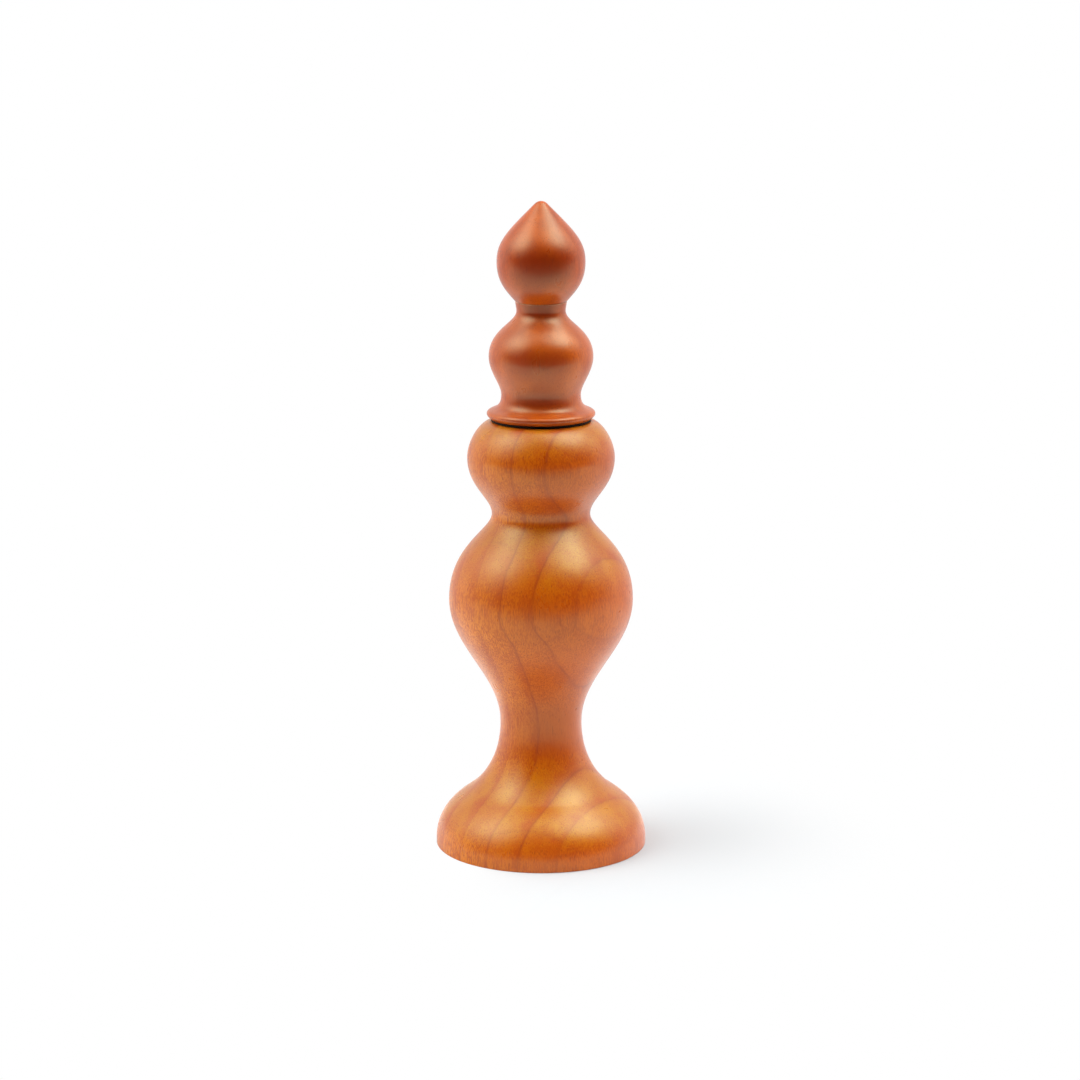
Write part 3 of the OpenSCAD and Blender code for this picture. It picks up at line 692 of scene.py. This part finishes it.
# The drive plate: a round steel plate with a square hole, screwed under the spigot.
# The head turns the shaft by it.
keep("drive_plate", bright_steel, 0.12)

# The drive plate's three screws: zinc-plated steel wood screws, up through the plate into the
# end of the spigot.
keep("drive_plate_screws", bright_steel, 0.10)

# The thrust washer: a stamped steel washer, plated, in a shallow pocket in the head's top.
# The finial bears on it.
keep("thrust_washer", bright_steel, 0.10)

# The shaft: a bar of drawn square steel with a turned journal and a clip's groove below, and a
# cut thread of 5 mm above, where the finial screws on.
shaft_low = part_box("drive_shaft")[0].z / MM
shaft_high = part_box("drive_shaft")[1].z / MM
journal_r = 2.0
groove_r = 1.7
clip_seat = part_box("rotor_clip")[1].z / MM
clip_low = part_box("rotor_clip")[0].z / MM
half_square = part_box("drive_shaft")[1].x / MM
corner_round = 0.35
thread_length = 15.4
square_top = shaft_high - thread_length
square_bevel = 0.15
shoulder_bevel = 0.3
# Beyond this radius the square's outline is its corner
corner_from = 2.8
thread_r = 2.5
thread_start_r = 2.45
thread_pitch = 0.8
thread_depth = 0.42
thread_step = 0.05
crest_share = 0.14
flank_share = 0.72
end_bevel = 0.5
# Directions of the mesh's lines, counted from each corner of the square
leans = [-45, -36, -27, -18, -11, -7, -4.3, -3, -1.5, 0, 1.5, 3, 4.3, 7, 11, 18, 27, 36]
directions = [(lean, 45 + 90 * quarter + lean) for quarter in range(4) for lean in leans]


def square_at(lean):
    """Radius of the square bar's rounded outline in a direction counted from its corner."""
    flat = half_square / math.cos(math.radians(45 - abs(lean)))
    centre = (half_square - corner_round) * math.sqrt(2)
    aside = centre * math.sin(math.radians(lean))
    if abs(aside) > corner_round:
        return flat
    return min(flat, centre * math.cos(math.radians(lean)) + math.sqrt(corner_round ** 2 - aside ** 2))


def shoulder_at(lean):
    """Radius at the square's upper end: its corners are bevelled, and its flats run into the thread."""
    if square_at(lean) > corner_from:
        return square_at(lean) - shoulder_bevel
    return thread_start_r


def thread_at(z, direction):
    """Radius of the right-hand thread at a height and direction."""
    share = ((z - square_top) / thread_pitch - direction / 360) % 1.0
    slope = abs(2 * share - 1)
    groove = min(max((slope - crest_share) / flank_share, 0.0), 1.0)
    fade = min((z - square_top) / thread_pitch, 1.0)
    return min(thread_r - thread_depth * groove * fade, thread_r - end_bevel + shaft_high - z)


shaft = bmesh.new()
shaft_levels = [
    (shaft_low, lambda lean, way: journal_r - end_bevel),
    (shaft_low + end_bevel, lambda lean, way: journal_r),
    (clip_low, lambda lean, way: journal_r),
    (clip_low, lambda lean, way: groove_r),
    (clip_seat, lambda lean, way: groove_r),
    (clip_seat, lambda lean, way: square_at(lean) - square_bevel),
    (clip_seat + square_bevel, lambda lean, way: square_at(lean)),
    (square_top - shoulder_bevel, lambda lean, way: square_at(lean)),
    (square_top, lambda lean, way: shoulder_at(lean)),
]
thread_levels = round((shaft_high - square_top) / thread_step)
for level in range(thread_levels + 1):
    height_now = square_top + (shaft_high - square_top) * level / thread_levels
    shaft_levels.append((height_now, lambda lean, way, z=height_now: thread_at(z, way)))
rings = []
for z, radius_at in shaft_levels:
    rings.append([
        shaft.verts.new((
            radius_at(lean, way) * MM * math.cos(math.radians(way)),
            radius_at(lean, way) * MM * math.sin(math.radians(way)),
            z * MM,
        ))
        for lean, way in directions
    ])
for low, high in zip(rings, rings[1:]):
    for k in range(len(directions)):
        after = (k + 1) % len(directions)
        shaft.faces.new((low[k], low[after], high[after], high[k]))
shaft.faces.new(rings[0][::-1])
shaft.faces.new(rings[-1])
drawn_steel = marked_finish(
    "drawn_steel", (0.58, 0.59, 0.60, 1), (0.38, 0.38, 0.38, 1), "Drawn",
    metallic=1.0, least_rough=0.22, most_rough=0.40, depth=0.006,
)
shown("threaded_shaft", shaft, drawn_steel, "drive", "drive_shaft")

# The rotor: the turning half of the grinding set, a cone of hardened steel with cut teeth.
# It sits on the square of the shaft, which turns it inside the ring.
keep("rotor", dark_steel, 0.05)

# The rotor's clip: a split clip stamped from spring steel, snapped into the journal's groove.
# The rotor rests on it.
keep("rotor_clip", bright_steel, 0.08)

# The spring: an open coil of round steel wire with cut ends, round the shaft. It stands between
# the rotor and the hub and pushes the rotor down.
spring_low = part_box("spring")[0].z / MM
spring_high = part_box("spring")[1].z / MM
wire_r = 0.45
coil_r = 4.9
coil_turns = 2.5
WIRE_SIDES = 16
TURN_RINGS = 40
ring_count = round(coil_turns * TURN_RINGS)
coil_bottom = spring_low + wire_r
coil_rise = spring_high - spring_low - 2 * wire_r


def coil_point(share, beyond=0.0):
    """A point on the wire's middle, and beyond an end on the straight line that goes on there."""
    turn = 2 * math.pi * coil_turns * share
    out = Vector((math.cos(turn), math.sin(turn), 0))
    way = Vector((-math.sin(turn), math.cos(turn), 0))
    return out * coil_r + way * beyond + Vector((0, 0, coil_bottom + coil_rise * share)), out


# Each ring of the wire: share of the coil, how far beyond its end, and how full the wire is
wire_rings = [(0.0, -0.9, 0.6), (0.0, -0.85, 0.9), (0.0, -0.78, 1.0)]
wire_rings += [(i / ring_count, 0.0, 1.0) for i in range(ring_count + 1)]
wire_rings += [(1.0, 0.78, 1.0), (1.0, 0.85, 0.9), (1.0, 0.9, 0.6)]
coil = bmesh.new()
rings = []
for share, beyond, fullness in wire_rings:
    middle, out = coil_point(share, beyond)
    rings.append([
        coil.verts.new((
            middle
            + out * wire_r * fullness * math.cos(2 * math.pi * k / WIRE_SIDES)
            + Vector((0, 0, wire_r * fullness * math.sin(2 * math.pi * k / WIRE_SIDES)))
        ) * MM)
        for k in range(WIRE_SIDES)
    ])
for low, high in zip(rings, rings[1:]):
    for k in range(WIRE_SIDES):
        after = (k + 1) % WIRE_SIDES
        coil.faces.new((low[k], low[after], high[after], high[k]))
coil.faces.new(rings[0][::-1])
coil.faces.new(rings[-1])
spring_piece = shown("coil_spring", coil, bright_steel, "drive", "spring")
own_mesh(spring_piece)

# The finial: the onion-shaped knob on top, turned from the same wood as the head and a shade
# redder. It screws on the shaft's thread and sets the grind.
finial_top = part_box("finial")[1].z / MM
finial_foot_r = 10.1
finial_foot_bevel = 0.05
insert_hole_r = 4.03
insert_hole_depth = 14.5
insert_hole_top = finial_seat + insert_hole_depth
tip_r = 3.4
tip_turn = 135
tip_lean = tip_turn - UPRIGHT


def tip_point(turn):
    """A point on the rounded tip, by its angle above level."""
    return tip_r * ahead(turn)[0], finial_top - tip_r * (1 - ahead(turn)[1])


finial_knots = [
    (finial_foot_r, finial_seat + finial_foot_bevel, 49, 0.0, 0.35),
    (17.4, finial_seat + 15.7, UPRIGHT, 0.45, 0.295),
    (*tip_point(tip_lean), tip_turn, 0.545, 0.0),
]
finial_tones = (
    (0.510, 0.086, 0.0016, 1),
    (0.335, 0.040, 0.0012, 1),
    (0.245, 0.018, 0.0007, 1),
    (0.170, 0.012, 0.0006, 1),
    (0.150, 0.010, 0.0005, 1),
)
# Painted shade on the side facing the front, painted light elsewhere round the girth
finial_painted_side_shade = ((0, -1, 0), 0.6, 0.98, (1.37, 1.45, 1, 1), (0.72, 0.62, 1, 1))
finial_wood = wood_finish(
    "finial_wood", finial_tones, head_gloss_tint, grain=0.35, hollow_r=9.0, lit_under_share=1.0, painted_side_shade=finial_painted_side_shade,
    ring_way=(-0.42, -0.908, 0), ring_start=steady(2.0), ring_spacing=steady(6.5), ring_depth=0.2,
)
tip_steps = 12
finial_outline = with_soft_edges(
    [(finial_foot_r - finial_foot_bevel, finial_seat, 0.02)]
    + flowing(finial_knots)
    + [tip_point(tip_lean + (UPRIGHT - tip_lean) * i / tip_steps) for i in range(1, tip_steps)]
    + [(0.0, finial_top), (0.0, insert_hole_top), (insert_hole_r, insert_hole_top, 0.2)]
    + [(insert_hole_r, finial_seat, 0.2)]
)
shown("finial_turning", turned(finial_outline), finial_wood, "finial_unit", "finial")

# The finial's insert: a knurled brass sleeve with a thread of 5 mm, pressed into the finial
# from below. It takes the shaft's end.
keep("finial_insert", brass, 0.06)

# The studio: a white floor with a white wall all round it for the camera, a dark room in front,
# a large soft lamp high on each side and an even light from above.
floor_half = 3.0
floor_mesh = bpy.data.meshes.new("floor")
floor_shape = bmesh.new()
bmesh.ops.create_grid(floor_shape, x_segments=2, y_segments=2, size=floor_half)
floor_shape.to_mesh(floor_mesh)
floor_shape.free()
floor = bpy.data.objects.new("floor", floor_mesh)
bpy.context.scene.collection.objects.link(floor)


def white_to_eyes(tree, seen, mirrored):
    """How white a place looks to the camera, and how white glass and lacquer mirror it."""
    ray = tree.nodes.new("ShaderNodeLightPath").outputs
    by_mirror = maths(tree, "MAXIMUM", ray["Is Glossy Ray"], ray["Is Transmission Ray"])
    by_mirror = maths(tree, "MULTIPLY", by_mirror, mirrored)
    return maths(tree, "MAXIMUM", maths(tree, "MULTIPLY", ray["Is Camera Ray"], seen), by_mirror)


floor_light = 0.80
floor_seen = (0.475, 0.492, 0.500, 1)
shadow_near = 0.055
shadow_far = 0.15
table_end = -0.75
table_full = -0.25
paper = bpy.data.materials.new("white_paper")
paper.use_nodes = True
tree = paper.node_tree
tree.nodes.remove(tree.nodes["Principled BSDF"])
lit = tree.nodes.new("ShaderNodeBsdfDiffuse")
where = tree.nodes.new("ShaderNodeTexCoord").outputs["Object"]
# The table ends in front, so the wood mirrors a dark room there
depth = along(tree, where, (0, 1, 0))
table = ramp(tree, depth, table_end, table_full, 0.1 * floor_light, floor_light)
seen = tree.nodes.new("ShaderNodeLightPath").outputs["Is Camera Ray"]
wire(tree, mixed(tree, seen, table, floor_seen), lit.inputs["Color"])
# The camera sees the floor white, but for the shadow beside the foot on the right
from_axis = vectors(tree, "LENGTH", where, (0, 0, 0)).outputs["Value"]
away = ramp(tree, from_axis, shadow_near, shadow_far)
left = ramp(tree, along(tree, where, (-1, 0, 0)), -0.01, 0.03)
bare = maths(tree, "MAXIMUM", away, left)
behind = ramp(tree, depth, 0.05, 0.30)
glow = tree.nodes.new("ShaderNodeEmission")
white = tree.nodes.new("ShaderNodeMixShader")
wire(tree, white_to_eyes(tree, bare, behind), white.inputs[0])
wire(tree, lit.outputs[0], white.inputs[1])
wire(tree, glow.outputs[0], white.inputs[2])
wire(tree, white.outputs[0], tree.nodes["Material Output"].inputs["Surface"])
floor_mesh.materials.append(paper)

studio = bpy.data.worlds.new("studio")
studio.use_nodes = True
bpy.context.scene.world = studio
tree = studio.node_tree
looking = tree.nodes.new("ShaderNodeTexCoord").outputs["Generated"]
back = along(tree, looking, (0, 1, 0))
up = along(tree, looking, (0, 0, 1))
# The wall behind and beside the grinder lights it evenly
light = ramp(tree, back, -0.35, 0.35, 0.0, 0.65)


def toward(side, rise):
    """The direction at this angle to the side of the camera and this angle above level."""
    level_part = math.cos(math.radians(rise))
    return (
        level_part * math.sin(math.radians(side)),
        -level_part * math.cos(math.radians(side)),
        math.sin(math.radians(rise)),
    )


def soft_light(side, rise, reach, strength):
    """A round light without an edge: its direction, how many degrees it reaches, and its strength."""
    near = along(tree, looking, toward(side, rise))
    edge = math.cos(math.radians(reach))
    full = math.cos(math.radians(reach / 4))
    return ramp(tree, near, edge, full, 0.0, strength)


low_wall = ramp(tree, up, 0.4, 0.75, 0.65, 0.0)
soft_lights = [
    maths(tree, "MULTIPLY", ramp(tree, back, 0.0, 0.6), low_wall),
    soft_light(80, 66, 34, 3.3),
    soft_light(80, 56, 22, 2.9),
    soft_light(95, 46, 34, 1.5),
    soft_light(-75, 58, 34, 1.5),
    soft_light(-75, 48, 22, 1.8),
    soft_light(-75, 38, 34, 1.7),
    soft_light(-95, 48, 34, 0.8),
    soft_light(0, 90, 50, 0.52),
    soft_light(-115, 15, 40, 0.45),
    soft_light(115, 15, 40, 0.3),
]
for one_light in soft_lights:
    light = maths(tree, "ADD", light, one_light)
behind = ramp(tree, back, 0.35, 0.6)
level = tree.nodes.new("ShaderNodeMix")
wire(tree, white_to_eyes(tree, 1.0, behind), level.inputs[0])
wire(tree, light, level.inputs[2])
wire(tree, 1.0, level.inputs[3])
wire(tree, level.outputs[0], tree.nodes["Background"].inputs["Strength"])
tree.nodes["Background"].inputs["Color"].default_value = (1, 1, 1, 1)

# The camera: it stands 1.2 m in front of the grinder at the height of 388 mm and looks down by
# 12.4 degrees, which gives the photograph's viewing angle.
lens_length = 102.52
camera_place = (-0.0004, -1.19623, 0.38781)
looks_down = 0.216256
camera = bpy.data.cameras.new("camera")
camera.lens = lens_length
camera.sensor_width = 36
viewer = bpy.data.objects.new("camera", camera)
viewer.location = camera_place
viewer.rotation_euler = (math.pi / 2 - looks_down, 0, 0)
bpy.context.scene.collection.objects.link(viewer)
bpy.context.scene.camera = viewer
bpy.context.scene.view_settings.view_transform = "Standard"
